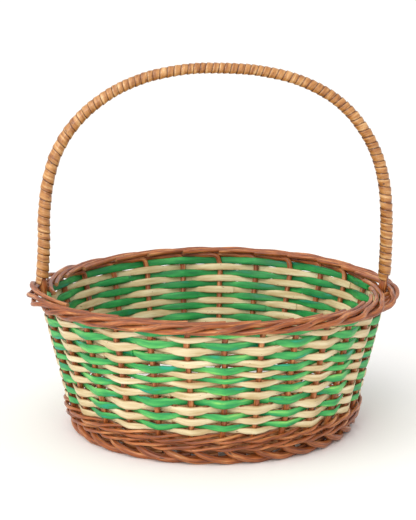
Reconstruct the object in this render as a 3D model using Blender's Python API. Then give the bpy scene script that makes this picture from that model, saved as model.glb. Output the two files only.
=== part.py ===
"""Round willow basket with a flat-strip weave, a rolled rim, a looped foot and a wrapped bow handle.

Metres, +Z up.  The origin is on the floor under the middle of the basket, the bow handle stands in the
XZ plane and -Y is the front.  A place on the wall is given by a stake number (a fraction lies between two
stakes), by the distance up the slanting wall and by the distance out from the stakes' centre line.
"""

import math

import bmesh
import bpy
from mathutils import Vector

MM = 0.001

# ---- wall -------------------------------------------------------------------------------------------
STAKE_COUNT = 28
STAKE_TURN = 2.0 * math.pi / STAKE_COUNT
FIRST_STAKE_ANGLE = math.radians(-90.0 + 4.3)
DRIFT_BACK = math.radians(3.5)          # the stakes stand a little closer together on the right and front
DRIFT_SIDE = math.radians(4.7)
WALL_RADIUS = 114.8 * MM                # stakes' centre line where the wall starts
WALL_START = 13.0 * MM
WALL_LEAN = math.atan(0.236)

# ---- stakes -----------------------------------------------------------------------------------------
STAKE_SIDES = 5
STAKE_RADIUS = 2.3 * MM
TAIL_RADIUS = 2.0 * MM
FOOT_RADIUS = 2.6 * MM
FOOT_FLAT = FOOT_RADIUS * math.cos(math.pi / STAKE_SIDES)   # centre to the flat that lies on the floor
# the foot loop: stake spaces to the right of the upright, radius and height of its centre line
FOOT_LOOP = (
    (2.85, 104.0 * MM, 6.2 * MM),
    (2.45, 105.1 * MM, 4.3 * MM),
    (2.10, 107.4 * MM, 2.7 * MM),
    (1.85, 108.6 * MM, FOOT_FLAT + 0.05 * MM),
    (1.60, 110.2 * MM, FOOT_FLAT),
    (1.30, 112.2 * MM, FOOT_FLAT + 0.05 * MM),
    (1.00, 114.0 * MM, 3.1 * MM),
    (0.70, 115.2 * MM, 5.2 * MM),
    (0.45, 115.5 * MM, 7.2 * MM),
    (0.24, 115.1 * MM, 9.3 * MM),
    (0.10, 114.2 * MM, 11.6 * MM),
    (0.02, 115.0 * MM, 14.6 * MM),
)

# ---- rim border -------------------------------------------------------------------------------------
RIM_RADIUS = 139.0 * MM
RIM_HEIGHT = 112.5 * MM
RIM_SADDLE = 1.5 * MM                   # front and back stand higher than the two sides
RIM_LAYER = 2.4 * MM                    # half the distance between the two layers of rods
RIM_START = -2.0 * MM                   # where a stake enters the border, from the rim's centre line
RIM_TURN = 5.1 * MM                     # where the rods turn from the lower layer to the upper one
RIM_TURN_DEPTH = 3.7 * MM               # how far out of there the turn goes
RIM_STEP = 4.75 * MM                    # how far a rod moves across the border in one stake space
RIM_TAIL = 5.3                          # stake spaces that a tail covers
RIM_POINTS_PER_SPACE = 2
RIM_FINE_REACH = 2.4                    # stake spaces either side of a leg with twice as many points
RIM_BEND = 5.5 * MM                     # height below the lower layer where the upright starts to bend
RIM_BEND_ENTRY = 0.32                   # share of that height where it crosses into the border
RIM_ENTRY_TRAVEL = 0.03                 # stake spaces that it has moved there
RIM_FIRST_TRAVEL = 0.2                  # stake spaces to a tail's first point in the border
RIM_ROD_SPACING = 4.65 * MM             # least distance between two rods' centre lines
RIM_LEG_SPACING = 5.4 * MM              # least distance of a rod's centre line from a handle leg's
RIM_LEG_REACH = (5.0 * MM, 20.0 * MM)   # distance from a leg where the rods are parted fully, and not at all
RIM_OUTSIDE_TRAVEL = 4.0                # rods that have travelled less than this pass a leg on the outside
RIM_LOWEST = -2.6 * MM                  # the rods stay above this, because the weave is below
RIM_OUTERMOST = 10.6 * MM               # or further out than this
RIM_SETTLING_ROUNDS = 120
RIM_PUSHES = 4                          # times that the rods are pushed apart in each round
DRIFT_ROUNDS = 20                       # enough to find a stake number from an angle

# ---- weave ------------------------------------------------------------------------------------------
ROW_COUNT = 18
FIRST_ROW = 15.8 * MM
ROW_PITCH = 4.64 * MM
STRIP_HEIGHT = 3.95 * MM
STRIP_THICKNESS = 1.4 * MM
STRIP_OUT = 3.4 * MM                    # strip's middle from the stake's, where it passes the stake
STRIP_DROP = 0.5 * MM                   # a strip runs lower outside a stake and higher inside it
STRIP_PAST_HANDLE = 4.0 * MM
WALL_SPAN = 99.5 * MM

# ---- waling -----------------------------------------------------------------------------------------
WALE_SIDES = 5
WALE_RADIUS = 1.4 * MM
WALE_RODS = 3
WALE_OUT = 4.4 * MM
WALE_OUT_BETWEEN = 4.7 * MM
WALE_LAYER = 1.65 * MM
WALE_CROSS = 1.75 * MM
WALE_FIRST = 3.2 * MM
WALE_RISE = 6.7 * MM
WALE_SPACES = 50                        # a little under two rounds
WALE_STEP_FROM = 0.88                   # share of the round where the rods step up to the second round
WALE_START = 16                         # stake number at the back where the rods start

# ---- handle -----------------------------------------------------------------------------------------
ARCH_HALF_SPAN = 140.8 * MM             # on the right
ARCH_HALF_SPAN_LEFT = 137.2 * MM        # the left leg leans in a little more
ARCH_SPRING = 152.5 * MM
ARCH_RISE = 140.2 * MM
ARCH_POWER_X = 2.2
ARCH_POWER_Z = 2.75
ARCH_SHIFT = 3.5 * MM                   # the top of the bow stands a little to the right
ARCH_SHIFT_POWER = 1.5
ARCH_POINTS = 26
ARCH_SPREAD = 0.08                      # evens out the points' spacing along the bow
CORE_SIDES = 6
CORE_RADIUS = 3.0 * MM
CORE_NECK_RADIUS = 2.4 * MM
CORE_TIP_RADIUS = 1.6 * MM
CORE_END = 40.0 * MM                    # distance up the wall where the bow's pointed ends stop
CORE_IN_WEAVE = (62.0 * MM, 90.0 * MM)  # distances up the wall where the bow's thin ends pass
NECK_RADIUS = 138.2 * MM
NECK_HEIGHTS = (107.5 * MM, 114.5 * MM) # the neck runs upright through the border
NECK_LEAN = 0.3 * MM
WRAP_SIDES = 8
WRAP_RADIUS = 5.0 * MM
WRAP_THICKNESS = 1.0 * MM
WRAP_END = 119.7 * MM
WRAP_END_RADIUS = 139.5 * MM
CORE_FULL_RADIUS = 140.0 * MM           # place of the first full-thickness section, just inside the wrap
CORE_FULL_RISE = 4.0 * MM

# ---- base -------------------------------------------------------------------------------------------
BASE_HEIGHT = 12.1 * MM
BASE_STICK_RADIUS = 2.2 * MM
BASE_STICK_END = 109.0 * MM
BASE_STICK_SPACING = 5.5 * MM
BASE_LAYER = 2.35 * MM
BASE_LOWER_STICKS = 4
BASE_UPPER_STICKS = 3
BASE_CROSS_HALF = 14.0 * MM
BASE_FAN_RADIUS = 28.0 * MM
BASE_SPOKES = 2 * (BASE_LOWER_STICKS + BASE_UPPER_STICKS)
BASE_WEAVER_RADIUS = 2.1 * MM
BASE_WEAVER_OUT = 4.7 * MM
BASE_WEAVER_FIRST = 32.0 * MM
BASE_WEAVER_PITCH = 10.0 * MM
BASE_WEAVER_ROUNDS = 5.8
BASE_TURN = math.radians(-6.0)          # the sticks aren't quite in line with the handle
BASE_QUARTER = math.radians(90.0)

SHARP_ANGLE = math.radians(75.0)

# ---- colours: linear RGB, roughness -----------------------------------------------------------------
BROWN_WILLOW = ((0.42, 0.16, 0.055), 0.5)
GREEN_STRIP = ((0.05, 0.42, 0.10), 0.55)
NATURAL_STRIP = ((0.72, 0.60, 0.36), 0.6)
GOLDEN_CANE = ((0.52, 0.28, 0.08), 0.4)
WHITE_WILLOW = ((0.62, 0.45, 0.24), 0.6)


def clear_scene():
    for item in list(bpy.data.objects):
        bpy.data.objects.remove(item, do_unlink=True)


def plant_material(name, finish):
    """A matt plant fibre: no metal, one colour."""
    colour, roughness = finish
    material = bpy.data.materials.new(name)
    material.use_nodes = True
    shader = material.node_tree.nodes["Principled BSDF"]
    shader.inputs["Base Color"].default_value = (*colour, 1.0)
    shader.inputs["Roughness"].default_value = roughness
    shader.inputs["Metallic"].default_value = 0.0
    return material


def smoothstep(value):
    clamped = min(max(value, 0.0), 1.0)
    return clamped * clamped * (3.0 - 2.0 * clamped)


# ---- places on the basket ---------------------------------------------------------------------------
def stake_angle(number):
    """Angle about +Z of a stake number; the spacing drifts a little round the basket, as handwork does."""
    even = FIRST_STAKE_ANGLE + number * STAKE_TURN
    from_front = even + math.pi / 2.0
    return even - DRIFT_BACK * (1.0 - math.cos(from_front)) - DRIFT_SIDE * math.sin(from_front)


def number_at_angle(angle):
    """The stake number, with its fraction, at an angle; the drift is small, so a few rounds settle it."""
    number = (angle - FIRST_STAKE_ANGLE) / STAKE_TURN
    for _ in range(DRIFT_ROUNDS):
        number += (angle - stake_angle(number)) / STAKE_TURN
    return number


def saddle(angle):
    return -math.cos(2.0 * angle)


def polar(angle, radius, height):
    return Vector((radius * math.cos(angle), radius * math.sin(angle), height))


def wall_point(angle, up, out):
    """A point on the slanting wall: up along it from where it starts, and out from its centre line."""
    radius = WALL_RADIUS + up * math.sin(WALL_LEAN) + out * math.cos(WALL_LEAN)
    height = WALL_START + up * math.cos(WALL_LEAN) - out * math.sin(WALL_LEAN)
    return polar(angle, radius, height)


def wall_up(angle):
    return wall_point(angle, 1.0, 0.0) - wall_point(angle, 0.0, 0.0)


def wall_out(angle):
    return wall_point(angle, 0.0, 1.0) - wall_point(angle, 0.0, 0.0)


# ---- sweeping a section along a path ----------------------------------------------------------------
def polygon(sides, radius):
    """A section with one flat side facing -v, as (u, v) pairs."""
    start = math.pi / 2.0 if sides % 2 else math.pi / 2.0 + math.pi / sides
    turn = 2.0 * math.pi / sides
    return [(radius * math.cos(start + turn * i), radius * math.sin(start + turn * i)) for i in range(sides)]


def sweep(name, sections, material, closed=False, caps=True, smooth=True):
    """One solid through a list of sections, each a list of points: a circle extruded from one to the next."""
    bm = bmesh.new()
    first = bmesh.ops.create_circle(bm, cap_ends=False, radius=1.0, segments=len(sections[0]))["verts"]
    ring = list(first)
    for vertex, place in zip(ring, sections[0]):
        vertex.co = place
    edges = [bm.edges.get((ring[i], ring[(i + 1) % len(ring)])) for i in range(len(ring))]
    first_edges = list(edges)
    for section in sections[1:]:
        fresh = set(bmesh.ops.extrude_edge_only(bm, edges=edges)["geom"])
        ring = [next(other for other in neighbours(vertex) if other in fresh) for vertex in ring]
        for vertex, place in zip(ring, section):
            vertex.co = place
        edges = [bm.edges.get((ring[i], ring[(i + 1) % len(ring)])) for i in range(len(ring))]
    if closed:
        bmesh.ops.bridge_loops(bm, edges=edges + first_edges)
    elif caps:
        bmesh.ops.holes_fill(bm, edges=bm.edges[:], sides=len(sections[0]))
    bmesh.ops.recalc_face_normals(bm, faces=bm.faces[:])
    mesh = bpy.data.meshes.new(name)
    bm.to_mesh(mesh)
    bm.free()
    if smooth:
        mesh.shade_smooth()
        mesh.set_sharp_from_angle(angle=SHARP_ANGLE)
    mesh.materials.append(material)
    body = bpy.data.objects.new(name, mesh)
    bpy.context.collection.objects.link(body)
    return body


def neighbours(vertex):
    return [edge.other_vert(vertex) for edge in vertex.link_edges]


def rod_sections(path, radii, sides, sideways):
    """Sections across a rod; sideways(point) gives the direction that each section's u axis leans to."""
    sections = []
    for i, point in enumerate(path):
        before = path[max(i - 1, 0)]
        after = path[min(i + 1, len(path) - 1)]
        into = (point - before).normalized() if i else (after - point).normalized()
        onward = (after - point).normalized() if i < len(path) - 1 else into
        along = (into + onward).normalized()
        across = sideways(point)
        across = (across - along * across.dot(along)).normalized()
        upward = along.cross(across)
        sections.append([point + across * u + upward * v for u, v in polygon(sides, radii[i])])
    return sections


def outwards(point):
    return Vector((point.x, point.y, 0.0)).normalized()


def straight_up(_point):
    return Vector((0.0, 0.0, 1.0))


def along_y(_point):
    return Vector((0.0, 1.0, 0.0))


# ---- stakes, with their foot loops and border tails -------------------------------------------------
HANDLE_NUMBERS = (number_at_angle(0.0), number_at_angle(-math.pi))


def border_place(travel):
    """Where a tail runs in the border's section after a travel in stake spaces: out, up."""
    out = RIM_START + RIM_STEP * travel
    if out <= RIM_TURN:
        return out, -RIM_LAYER
    past = travel - (RIM_TURN - RIM_START) / RIM_STEP
    if past <= 1.0:
        turn = math.pi * past
        return RIM_TURN + RIM_TURN_DEPTH * math.sin(turn), -RIM_LAYER * math.cos(turn)
    return RIM_TURN - RIM_STEP * (past - 1.0), RIM_LAYER


def nearest_leg(station):
    """The signed number of stake spaces from the nearest handle leg to a station."""
    half = STAKE_COUNT / 2.0
    return min(((station - leg + half) % STAKE_COUNT - half for leg in HANDLE_NUMBERS), key=abs)


def border_stations():
    """Stake numbers where the border's section is laid out: evenly, closer near the legs, and at the legs."""
    even = [step / RIM_POINTS_PER_SPACE for step in range(STAKE_COUNT * RIM_POINTS_PER_SPACE)]
    between = [station + 0.5 / RIM_POINTS_PER_SPACE for station in even]
    fine = [station for station in between if abs(nearest_leg(station)) < RIM_FINE_REACH]
    return sorted(even + fine + [leg % STAKE_COUNT for leg in HANDLE_NUMBERS])


def leg_spacing(station):
    """Distance that the rods keep from a handle leg's centre line at a station."""
    away = abs(nearest_leg(station)) * STAKE_TURN * RIM_RADIUS
    full, none = RIM_LEG_REACH
    return RIM_LEG_SPACING * (1.0 - smoothstep((away - full) / (none - full)))


def part_from_leg(place, station, travel, spacing):
    """Push a rod's place sideways until it clears the leg, to the side on which it passes."""
    side = 1.0 if travel - nearest_leg(station) < RIM_OUTSIDE_TRAVEL else -1.0
    out = side * (place.x - (NECK_RADIUS - RIM_RADIUS))
    if out < spacing:
        place.x += side * (spacing - out)


def part_pair(first, second, first_fixed):
    """Push two rods' places apart to the least spacing; a fixed one stays."""
    gap = second - first
    short = RIM_ROD_SPACING - gap.length
    if short <= 0.0:
        return
    push = gap.normalized() * short
    if first_fixed:
        second += push
    else:
        first -= push * 0.5
        second += push * 0.5


def settle_border():
    """Places of all tails at all stations: laid out by rule, then eased apart round the handle legs."""
    stations = border_stations()
    travels = {}
    for number in range(STAKE_COUNT):
        ahead = sorted((station - number) % STAKE_COUNT for station in stations)
        travels[number] = [0.0] + [travel for travel in ahead if RIM_FIRST_TRAVEL <= travel <= RIM_TAIL]
    ruled = {number: [Vector(border_place(travel)) for travel in row] for number, row in travels.items()}
    moved = {number: [place.copy() for place in row] for number, row in ruled.items()}
    crowd = {}
    for number, row in travels.items():
        for order, travel in enumerate(row):
            station = round((number + travel) % STAKE_COUNT, 6)
            crowd.setdefault(station, []).append((travel, number, order))
    for _ in range(RIM_SETTLING_ROUNDS):
        for number, row in moved.items():
            shift = [place - rule for place, rule in zip(row, ruled[number])]
            for order in range(1, len(row)):
                after = shift[min(order + 1, len(row) - 1)]
                eased = shift[order] * 0.5 + (shift[order - 1] + after) * 0.25
                row[order] = ruled[number][order] + eased
        for station, members in crowd.items():
            members.sort()
            spacing = leg_spacing(station)
            for _ in range(RIM_PUSHES):
                for travel, number, order in members:
                    place = moved[number][order]
                    if order and spacing > 0.0:
                        part_from_leg(place, station, travel, spacing)
                    place.y = max(place.y, RIM_LOWEST)
                    place.x = min(place.x, RIM_OUTERMOST)
                for i, (_, number, order) in enumerate(members):
                    for _, other, other_order in members[i + 1:]:
                        part_pair(moved[number][order], moved[other][other_order], order == 0)
    return travels, moved


def tail_points(number, travels, places):
    """A tail's points round the border, after the bend out of the upright."""
    points = []
    for travel, place in list(zip(travels[number], places[number]))[1:]:
        angle = stake_angle(number + travel)
        height = RIM_HEIGHT + RIM_SADDLE * saddle(angle) + place.y
        points.append(polar(angle, RIM_RADIUS + place.x, height))
    return points


def stake_path(number, tail):
    """From the tucked end of the foot loop, up the wall and along the border: points and radii."""
    path = [polar(stake_angle(number + travel), radius, height) for travel, radius, height in FOOT_LOOP]
    radii = [FOOT_RADIUS] * (len(FOOT_LOOP) - 1) + [STAKE_RADIUS]
    angle = stake_angle(number)
    top = RIM_HEIGHT + RIM_SADDLE * saddle(angle) - RIM_LAYER
    up = (top - RIM_BEND - WALL_START) / math.cos(WALL_LEAN)
    path += [wall_point(angle, up * 0.5, 0.0), wall_point(angle, up, 0.0)]
    entry = stake_angle(number + RIM_ENTRY_TRAVEL)
    path.append(polar(entry, RIM_RADIUS + RIM_START, top - RIM_BEND_ENTRY * RIM_BEND))
    radii += [STAKE_RADIUS, TAIL_RADIUS, TAIL_RADIUS]
    return path + tail, radii + [TAIL_RADIUS] * len(tail)


def make_stakes(material):
    travels, places = settle_border()
    for index in range(STAKE_COUNT):
        path, radii = stake_path(index, tail_points(index, travels, places))
        sweep(f"stake_{index + 1:02d}", rod_sections(path, radii, STAKE_SIDES, outwards), material)


# ---- flat weaving strips ----------------------------------------------------------------------------
def strip_section(number, row_up, out):
    """The four corners of a strip where it passes a stake or a handle leg, out or in."""
    angle = stake_angle(number)
    up = row_up * (1.0 + RIM_SADDLE * saddle(angle) / WALL_SPAN) - STRIP_DROP * math.copysign(1.0, out)
    middle = wall_point(angle, up, out)
    half_up = wall_up(angle) * STRIP_HEIGHT / 2.0
    half_out = wall_out(angle) * STRIP_THICKNESS / 2.0
    corners = (middle + half_out + half_up, middle - half_out + half_up)
    return [*corners, middle - half_out - half_up, middle + half_out - half_up]


def strip_ring(name, row, material):
    """One strip all the way round, in front of every other stake and behind the rest."""
    row_up = FIRST_ROW + row * ROW_PITCH
    outer_parity = 1 if row % 2 == 0 else 0
    side_of = {outer_parity: 1.0, 1 - outer_parity: -1.0}
    stops = [(number, side_of[number % 2] * STRIP_OUT) for number in range(STAKE_COUNT)]
    if row_up + STRIP_HEIGHT > CORE_END:
        for leg in HANDLE_NUMBERS:
            stops.append((leg % STAKE_COUNT, side_of[round(leg) % 2] * STRIP_PAST_HANDLE))
    stops.sort()
    sections = [strip_section(number, row_up, out) for number, out in stops]
    sweep(name, sections, material, closed=True, smooth=False)


def make_weave(green, natural):
    for row in range(ROW_COUNT):
        pair = row // 2 + 1
        if row % 2:
            strip_ring(f"green_weaver_{pair}", row, green)
        else:
            strip_ring(f"natural_weaver_{pair}", row, natural)


# ---- three-rod wale ---------------------------------------------------------------------------------
def wale_level(spaces):
    """Distance up the wall of the wale's middle: level in each round, with a step up between them."""
    rounds = spaces / STAKE_COUNT
    step = smoothstep((rounds - WALE_STEP_FROM) / (1.0 - WALE_STEP_FROM))
    return WALE_FIRST + WALE_RISE * step


def wale_path(rod):
    """In front of two stakes and behind one; a front stroke starts low and ends high."""
    stroke = ((WALE_OUT, -WALE_LAYER), (WALE_OUT, WALE_LAYER), (-WALE_OUT, 0.0))
    between = ((WALE_OUT_BETWEEN, 0.0), (0.0, WALE_CROSS), (0.0, -WALE_CROSS))
    path = []
    for space in range(rod, rod + WALE_SPACES):
        phase = (space - rod) % WALE_RODS
        for places, spaces in ((stroke, space), (between, space + 0.5)):
            out, up = places[phase]
            path.append(wall_point(stake_angle(WALE_START + spaces), wale_level(spaces) + up, out))
    return path


def make_wale(material):
    for rod in range(WALE_RODS):
        path = wale_path(rod)
        sections = rod_sections(path, [WALE_RADIUS] * len(path), WALE_SIDES, outwards)
        sweep(f"wale_rod_{rod + 1}", sections, material)


# ---- bow handle -------------------------------------------------------------------------------------
def arch_point(share):
    """The bow's centre line from the right springing (0) over the top to the left one (1)."""
    turn = math.pi * share
    across = math.copysign(abs(math.cos(turn)) ** (2.0 / ARCH_POWER_X), math.cos(turn))
    rise = abs(math.sin(turn)) ** (2.0 / ARCH_POWER_Z)
    shift = ARCH_SHIFT * rise ** ARCH_SHIFT_POWER
    half_span = ARCH_HALF_SPAN if across > 0.0 else ARCH_HALF_SPAN_LEFT
    return Vector((half_span * across + shift, 0.0, ARCH_SPRING + ARCH_RISE * rise))


def arch_path():
    """Points spread evenly enough along the bow for a smooth tube."""
    path = []
    for i in range(ARCH_POINTS + 1):
        share = i / ARCH_POINTS
        path.append(arch_point(share - ARCH_SPREAD * math.sin(2.0 * math.pi * share) / math.pi))
    return path


def leg_path(side):
    """From the bow's pointed end in the weave up through the border to just above it."""
    angle = 0.0 if side > 0 else math.pi
    low = [wall_point(angle, up, 0.0) for up in (CORE_END, *CORE_IN_WEAVE)]
    neck_low, neck_high = NECK_HEIGHTS
    neck = [polar(angle, NECK_RADIUS, neck_low), polar(angle, NECK_RADIUS + NECK_LEAN, neck_high)]
    return low + neck + [polar(angle, CORE_FULL_RADIUS, WRAP_END + CORE_FULL_RISE)]


def make_handle(rod_material, cane_material):
    right = leg_path(1.0)
    left = leg_path(-1.0)
    arch = arch_path()
    neck_radii = [CORE_TIP_RADIUS, CORE_NECK_RADIUS, CORE_NECK_RADIUS, CORE_NECK_RADIUS, CORE_NECK_RADIUS]
    radii = neck_radii + [CORE_RADIUS] * (len(arch) + 2) + neck_radii[::-1]
    path = right + arch + left[::-1]
    sweep("handle_core", rod_sections(path, radii, CORE_SIDES, along_y), rod_material)

    ends = [polar(angle, WRAP_END_RADIUS, WRAP_END) for angle in (0.0, math.pi)]
    path = [ends[0], right[-1]] + arch + [left[-1], ends[1]]
    sections = rod_sections(path, [WRAP_RADIUS] * len(path), WRAP_SIDES, along_y)
    wrap = sweep("handle_wrap", sections, cane_material, caps=False)
    wall = wrap.modifiers.new("wrap_wall", "SOLIDIFY")
    wall.thickness = WRAP_THICKNESS
    wall.offset = -1.0
    wall.use_even_offset = True


# ---- woven base -------------------------------------------------------------------------------------
def base_stick_path(lane, lanes, layer, heading):
    """One stick right across the base: straight through the cross, then fanned out to its two spokes."""
    side = (lane - (lanes - 1) / 2.0) * BASE_STICK_SPACING
    fan = (lane - (lanes - 1) / 2.0) * 2.0 * math.pi / BASE_SPOKES
    cosine, sine = math.cos(heading), math.sin(heading)

    def place(x, y, height):
        return Vector((x * cosine - y * sine, x * sine + y * cosine, height))

    half = [
        (BASE_CROSS_HALF, side, BASE_HEIGHT + layer),
        (BASE_FAN_RADIUS * math.cos(fan), BASE_FAN_RADIUS * math.sin(fan), BASE_HEIGHT),
        (BASE_STICK_END * math.cos(fan), BASE_STICK_END * math.sin(fan), BASE_HEIGHT),
    ]
    far = [place(-x, y, height) for x, y, height in reversed(half)]
    return far + [place(x, y, height) for x, y, height in half]


def make_base(material):
    groups = (
        (BASE_LOWER_STICKS, -BASE_LAYER, BASE_TURN),
        (BASE_UPPER_STICKS, BASE_LAYER, BASE_TURN + BASE_QUARTER),
    )
    number = 0
    for lanes, layer, heading in groups:
        for lane in range(lanes):
            number += 1
            path = base_stick_path(lane, lanes, layer, heading)
            sections = rod_sections(path, [BASE_STICK_RADIUS] * len(path), STAKE_SIDES, straight_up)
            sweep(f"base_stick_{number}", sections, material)

    turn = 2.0 * math.pi / BASE_SPOKES
    for rod in range(2):
        path = []
        for spoke in range(round(BASE_WEAVER_ROUNDS * BASE_SPOKES) + 1):
            radius = BASE_WEAVER_FIRST + BASE_WEAVER_PITCH * (rod / 2.0 + spoke / BASE_SPOKES)
            over = 1.0 if (spoke + rod) % 2 else -1.0
            angle = BASE_TURN + turn * (spoke + 0.5)
            path.append(polar(angle, radius, BASE_HEIGHT + over * BASE_WEAVER_OUT))
        sections = rod_sections(path, [BASE_WEAVER_RADIUS] * len(path), STAKE_SIDES, outwards)
        sweep(f"base_weaver_{rod + 1}", sections, material)


def main():
    clear_scene()
    brown = plant_material("brown_willow_rod", BROWN_WILLOW)
    green = plant_material("green_dyed_strip", GREEN_STRIP)
    make_stakes(brown)
    make_weave(green, plant_material("natural_strip", NATURAL_STRIP))
    make_wale(brown)
    make_handle(brown, plant_material("golden_cane_wrap", GOLDEN_CANE))
    make_base(plant_material("white_willow_rod", WHITE_WILLOW))


main()
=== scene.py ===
"""Looks of a round willow basket with a two-colour strip weave, a rolled rim and a cane-wrapped bow handle.

Every rod and strip is modelled as the single length of willow or cane that a maker would weave in, along the
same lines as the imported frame.  A place on the wall is a stake number (a fraction lies between two stakes),
a distance up the slanting wall and a distance out from the stakes' centre line.  Metres, +Z up, -Y in front.
"""

import logging
import math
import random
from dataclasses import dataclass
from enum import Enum
from typing import Callable, NamedTuple, Sequence

import bmesh
import bpy
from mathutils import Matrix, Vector, noise

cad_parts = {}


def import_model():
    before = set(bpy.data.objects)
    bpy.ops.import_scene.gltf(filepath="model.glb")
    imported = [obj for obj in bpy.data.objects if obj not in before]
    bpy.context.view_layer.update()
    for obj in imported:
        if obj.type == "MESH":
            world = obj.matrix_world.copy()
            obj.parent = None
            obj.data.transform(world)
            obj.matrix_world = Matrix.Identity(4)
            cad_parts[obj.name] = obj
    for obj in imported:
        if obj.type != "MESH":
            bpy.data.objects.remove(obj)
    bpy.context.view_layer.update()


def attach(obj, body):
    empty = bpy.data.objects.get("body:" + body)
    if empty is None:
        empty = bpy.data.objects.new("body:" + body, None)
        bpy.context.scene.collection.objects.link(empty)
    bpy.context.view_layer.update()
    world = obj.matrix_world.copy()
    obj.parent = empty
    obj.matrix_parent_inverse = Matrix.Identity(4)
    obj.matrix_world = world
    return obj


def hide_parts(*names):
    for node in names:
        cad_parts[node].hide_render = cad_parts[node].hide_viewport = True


MM = 0.001
WELD = 1.0e-7
STRAIGHT = "straight_length"  # attribute: a point's place on its rod, as if that lay straight along Z
# The edge attribute also places the painted shade along the edges of strips and cane windings.
EDGE = "edge_share"  # attribute: 0 along the middle of a strip's face, 1 or -1 at its edges
SLOW_DRIFT = (46.0 * MM, 0.75 * MM)  # length of the handwork's slow waves, and how far they move a point
QUICK_DRIFT = (15.0 * MM, 0.3 * MM)
QUICK_SEAT = Vector((7.0, 3.0, 5.0))  # keeps the quick waves apart from the slow ones
DRIFT_HEIGHT = 14.0 * MM  # the drift is full from here up, and nothing on the floor
DRIFT_SEED = 7  # unseeded, the noise that moves points would be laid out by the clock, another way each run
LOG = logging.getLogger("basket")


# ---- small helpers ----------------------------------------------------------------------------------
def linear_colour(code: str) -> tuple[float, float, float, float]:
    """Turn an sRGB hex colour into the linear values that a shader takes.

    Args:
        code: The colour as "#rrggbb".

    Returns:
        Red, green, blue and an alpha of 1, all linear.
    """
    channels = [int(code[i:i + 2], 16) / 255.0 for i in (1, 3, 5)]
    linear = [c / 12.92 if c <= 0.04045 else ((c + 0.055) / 1.055) ** 2.4 for c in channels]
    return linear[0], linear[1], linear[2], 1.0


def smoothstep(value: float) -> float:
    """Ease a value from 0 to 1, flat at both ends."""
    clamped = min(max(value, 0.0), 1.0)
    return clamped * clamped * (3.0 - 2.0 * clamped)


def polar(angle: float, radius: float, height: float) -> Vector:
    """Return the point at an angle and radius round the basket's axis, at a height."""
    return Vector((radius * math.cos(angle), radius * math.sin(angle), height))


def outwards(point: Vector) -> Vector:
    """Return the level direction from the basket's axis through a point."""
    return Vector((point.x, point.y, 0.0)).normalized()


def straight_up(_point: Vector) -> Vector:
    """Return the upward direction, wherever the point is."""
    return Vector((0.0, 0.0, 1.0))


def to_front(_point: Vector) -> Vector:
    """Return the direction to the basket's front, wherever the point is."""
    return Vector((0.0, -1.0, 0.0))


def hand_drift(point: Vector) -> Vector:
    """Move a point as uneven handwork does, neighbours together, so that rods which touch still do.

    Args:
        point: A point of the evenly laid out basket.

    Returns:
        The point, up to about a millimetre away.
    """
    slow = noise.noise_vector(point / SLOW_DRIFT[0]) * SLOW_DRIFT[1]
    quick = noise.noise_vector(point / QUICK_DRIFT[0] + QUICK_SEAT) * QUICK_DRIFT[1]
    return point + (slow + quick) * smoothstep(point.z / DRIFT_HEIGHT)


# ---- swept rods and strips --------------------------------------------------------------------------
class Station(NamedTuple):
    """One cross-section of a rod or strip."""

    centre: Vector
    across: Vector
    upward: Vector
    half_across: float
    half_upward: float
    along: float


def smooth_line(knots: Sequence[Vector], step: float) -> list[Vector]:
    """Lay an even, smooth line through knots; a fourth component, the radius, is smoothed with them.

    Args:
        knots: Points of four components: x, y, z and the radius there.
        step: The wanted distance between the line's points.

    Returns:
        The line's points, with the first and last knot as its ends.
    """
    gaps = [max((b.xyz - a.xyz).length, WELD) for a, b in zip(knots, knots[1:])]
    slopes = [(b - a) / gap for a, b, gap in zip(knots, knots[1:], gaps)]
    tangents = [slopes[0]]
    for i in range(1, len(knots) - 1):
        near, far = gaps[i - 1], gaps[i]
        tangents.append((slopes[i - 1] * far + slopes[i] * near) / (near + far))
    tangents.append(slopes[-1])
    line = []
    for i, gap in enumerate(gaps):
        parts = max(1, round(gap / step))
        for part in range(parts):
            t = part / parts
            rise = t * t * (3.0 - 2.0 * t)
            leave = t * (1.0 - t) ** 2 * gap
            arrive = t * t * (t - 1.0) * gap
            between = knots[i] * (1.0 - rise) + knots[i + 1] * rise
            line.append(between + tangents[i] * leave + tangents[i + 1] * arrive)
    line.append(knots[-1].copy())
    return line


class RodGrowth(NamedTuple):
    """How a rod's thickness strays from an even one."""

    swell: float = 0.05
    swell_length: float = 24.0 * MM
    knot_every: float = 70.0 * MM
    knot_rise: float = 0.10
    knot_length: float = 2.2 * MM
    knot_shift: float = 0.37


SHOOT = RodGrowth()


def rod_stations(line: Sequence[Vector], sideways: Callable[[Vector], Vector],
                 offset: float) -> list[Station]:
    """Cut a rod's line into round cross-sections, with the swellings and knots of a grown shoot.

    Args:
        line: Points of four components, the last of them the radius.
        sideways: Gives the direction that each section's first axis leans to.
        offset: Where this rod starts in the pattern of its material, so that no two rods look alike.

    Returns:
        The cross-sections from the rod's start to its end.
    """
    stations = []
    along = 0.0
    for i, point in enumerate(line):
        before = line[max(i - 1, 0)].xyz
        after = line[min(i + 1, len(line) - 1)].xyz
        heading = (after - before).normalized()
        along += (point.xyz - before).length if i else 0.0
        across = sideways(point)
        across = (across - heading * across.dot(heading)).normalized()
        seat = Vector((offset, along / SHOOT.swell_length, 0.0))
        radius = point.w * (1.0 + SHOOT.swell * noise.noise(seat))
        phase = (along / SHOOT.knot_every + offset * SHOOT.knot_shift) % 1.0 - 0.5
        radius *= 1.0 + SHOOT.knot_rise * math.exp(-(phase * SHOOT.knot_every / SHOOT.knot_length) ** 2)
        stations.append(Station(point.xyz, across, heading.cross(across), radius, radius, offset + along))
    return stations


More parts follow.
